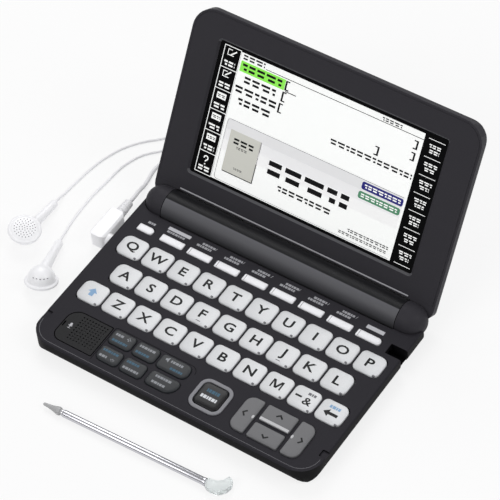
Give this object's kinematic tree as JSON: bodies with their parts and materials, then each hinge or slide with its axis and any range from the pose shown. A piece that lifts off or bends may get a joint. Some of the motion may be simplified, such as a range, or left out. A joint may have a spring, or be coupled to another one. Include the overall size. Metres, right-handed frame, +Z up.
{
  "type": "electronic dictionary",
  "caption": "Pocket electronic dictionary: keyboard base with a hinge barrel, tilting display lid, pull-out stylus and plugged-in wired earphones",
  "frame": {"origin": "middle of the flat underside of the base; the rubber feet stand out 0.8 mm below it", "axes": "+X to the user's right, +Y from the front edge towards the hinge, +Z up"},
  "size_m": [0.1928, 0.197, 0.089],
  "materials": {
    "case_charcoal": "fine matt charcoal texture",
    "case_bottom": "matt darker charcoal",
    "barrel_satin": "satin dark grey",
    "key_pearl": "pearl light grey, soft gloss",
    "key_white": "white, soft gloss",
    "key_dark": "satin charcoal",
    "enter_face": "glossy dark grey",
    "arrow_grey": "satin mid grey",
    "ring_grey": "satin grey",
    "grille_black": "matt black",
    "window_glass": "clear hard coat over a black printed border",
    "display": "display panel",
    "trim_silver": "thin bright strip",
    "bare_metal": "plain steel",
    "stylus_chrome": "polished tube",
    "stylus_grey": "grey plastic",
    "clear_plastic": "frosted clear plastic",
    "foot_rubber": "black rubber",
    "board_green": "printed circuit board",
    "sheet_rubber": "translucent silicone",
    "inner_black": "black moulded plastic",
    "cell_jacket": "printed metal jacket, plain",
    "cable_amber": "polyimide flat cable",
    "earphone_white": "glossy white",
    "cord_white": "soft white jacket",
    "plug_gold": "gold-plated pin"
  },
  "bodies": {
    "base": {"bottom_case": "case_bottom", "top_case": "case_charcoal", "hinge_barrel": "barrel_satin", "battery_cells": "cell_jacket", "battery_contacts": "bare_metal", "hinge_pins": "bare_metal", "main_board": "board_green", "keypad_sheets": "sheet_rubber", "speaker_grille": "grille_black", "speaker": "inner_black", "microphone": "bare_metal", "enter_ring": "ring_grey", "earphone_jack": "inner_black", "stylus_sleeve": "inner_black", "rubber_feet": "foot_rubber", "case_screws": "bare_metal"},
    "lid": {"lid_back_cover": "case_charcoal", "lid_bezel": "case_charcoal", "lid_trim_strip": "trim_silver", "display_window": "window_glass", "lcd_panel": "display", "backlight_tray": "bare_metal", "lid_cable": "cable_amber", "lid_screws": "bare_metal"},
    "battery_cover": {"battery_cover": "barrel_satin"},
    "stylus": {"stylus_point": "stylus_grey", "stylus_tube": "stylus_chrome", "stylus_hook": "clear_plastic"},
    "earphones": {"plug_housing": "earphone_white", "plug_pin": "plug_gold", "plug_strain_relief": "earphone_white", "main_cord": "cord_white", "main_coil": "cord_white", "cord_splitter": "earphone_white", "left_cord": "cord_white", "left_coil": "cord_white", "right_cord": "cord_white", "right_coil": "cord_white", "left_earbud_shell": "earphone_white", "left_earbud_face": "earphone_white", "right_earbud_shell": "earphone_white", "right_earbud_face": "earphone_white"},
    "power_key": {"power_key": "key_white"},
    "page_up_key": {"page_up_key": "key_dark"},
    "page_down_key": {"page_down_key": "key_dark"},
    "jump_key": {"jump_key": "key_dark"},
    "history_key": {"history_key": "key_dark"},
    "voice_key": {"voice_key": "key_dark"},
    "back_key": {"back_key": "key_dark"},
    "enter_key": {"enter_key": "enter_face"},
    "arrow_left_key": {"arrow_left_key": "arrow_grey"},
    "arrow_right_key": {"arrow_right_key": "arrow_grey"},
    "arrow_up_key": {"arrow_up_key": "arrow_grey"},
    "arrow_down_key": {"arrow_down_key": "arrow_grey"},
    "function_keys": {"function_keys": "key_white"},
    "letter_keys_row_1": {"letter_keys_row_1": "key_pearl"},
    "letter_keys_row_2": {"letter_keys_row_2": "key_pearl"},
    "letter_keys_row_3": {"letter_keys_row_3": "key_pearl"}
  },
  "joints": [
    {"name": "lid_hinge", "type": "hinge", "parent": "base", "child": "lid", "pos_m": [0, 0.04285, 0.00795], "axis": [1, 0, 0], "range_deg": [-29.3, 120.7]},
    {"name": "power_press", "type": "slide", "parent": "base", "child": "power_key", "axis": [0, 0, -1], "range_m": [0, 0.00025], "stiffness_N_per_m": 1000, "springref_m": -0.0004},
    {"name": "page_up_press", "type": "slide", "parent": "base", "child": "page_up_key", "axis": [0, 0, -1], "range_m": [0, 0.0008], "stiffness_N_per_m": 500, "springref_m": -0.0004},
    {"name": "page_down_press", "type": "slide", "parent": "base", "child": "page_down_key", "axis": [0, 0, -1], "range_m": [0, 0.0008], "stiffness_N_per_m": 500, "springref_m": -0.0004},
    {"name": "jump_press", "type": "slide", "parent": "base", "child": "jump_key", "axis": [0, 0, -1], "range_m": [0, 0.0008], "stiffness_N_per_m": 500, "springref_m": -0.0004},
    {"name": "history_press", "type": "slide", "parent": "base", "child": "history_key", "axis": [0, 0, -1], "range_m": [0, 0.0008], "stiffness_N_per_m": 500, "springref_m": -0.0004},
    {"name": "voice_press", "type": "slide", "parent": "base", "child": "voice_key", "axis": [0, 0, -1], "range_m": [0, 0.0008], "stiffness_N_per_m": 500, "springref_m": -0.0004},
    {"name": "back_press", "type": "slide", "parent": "base", "child": "back_key", "axis": [0, 0, -1], "range_m": [0, 0.0008], "stiffness_N_per_m": 500, "springref_m": -0.0004},
    {"name": "enter_press", "type": "slide", "parent": "base", "child": "enter_key", "axis": [0, 0, -1], "range_m": [0, 0.0008], "stiffness_N_per_m": 500, "springref_m": -0.0004},
    {"name": "arrow_left_press", "type": "slide", "parent": "base", "child": "arrow_left_key", "axis": [0, 0, -1], "range_m": [0, 0.0008], "stiffness_N_per_m": 500, "springref_m": -0.0004},
    {"name": "arrow_right_press", "type": "slide", "parent": "base", "child": "arrow_right_key", "axis": [0, 0, -1], "range_m": [0, 0.0008], "stiffness_N_per_m": 500, "springref_m": -0.0004},
    {"name": "arrow_up_press", "type": "slide", "parent": "base", "child": "arrow_up_key", "axis": [0, 0, -1], "range_m": [0, 0.0008], "stiffness_N_per_m": 500, "springref_m": -0.0004},
    {"name": "arrow_down_press", "type": "slide", "parent": "base", "child": "arrow_down_key", "axis": [0, 0, -1], "range_m": [0, 0.0008], "stiffness_N_per_m": 500, "springref_m": -0.0004},
    {"name": "function_keys_press", "type": "slide", "parent": "base", "child": "function_keys", "axis": [0, 0, -1], "range_m": [0, 0.00025], "stiffness_N_per_m": 3000, "springref_m": -0.0004},
    {"name": "letter_keys_row_1_press", "type": "slide", "parent": "base", "child": "letter_keys_row_1", "axis": [0, 0, -1], "range_m": [0, 0.0008], "stiffness_N_per_m": 1500, "springref_m": -0.0004},
    {"name": "letter_keys_row_2_press", "type": "slide", "parent": "base", "child": "letter_keys_row_2", "axis": [0, 0, -1], "range_m": [0, 0.0008], "stiffness_N_per_m": 1500, "springref_m": -0.0004},
    {"name": "letter_keys_row_3_press", "type": "slide", "parent": "base", "child": "letter_keys_row_3", "axis": [0, 0, -1], "range_m": [0, 0.0008], "stiffness_N_per_m": 1500, "springref_m": -0.0004},
    {"name": "battery_cover_slide", "type": "slide", "parent": "base", "child": "battery_cover", "axis": [0, 1, 0], "range_m": [0, 0.014]},
    {"name": "stylus_lift", "type": "slide", "parent": "base", "child": "stylus", "axis": [0, 0, 1], "range_m": [0, 0.04]},
    {"name": "earphone_plug_slide", "type": "slide", "parent": "base", "child": "earphones", "axis": [-1, 0, 0], "range_m": [0, 0.02]}
  ]
}
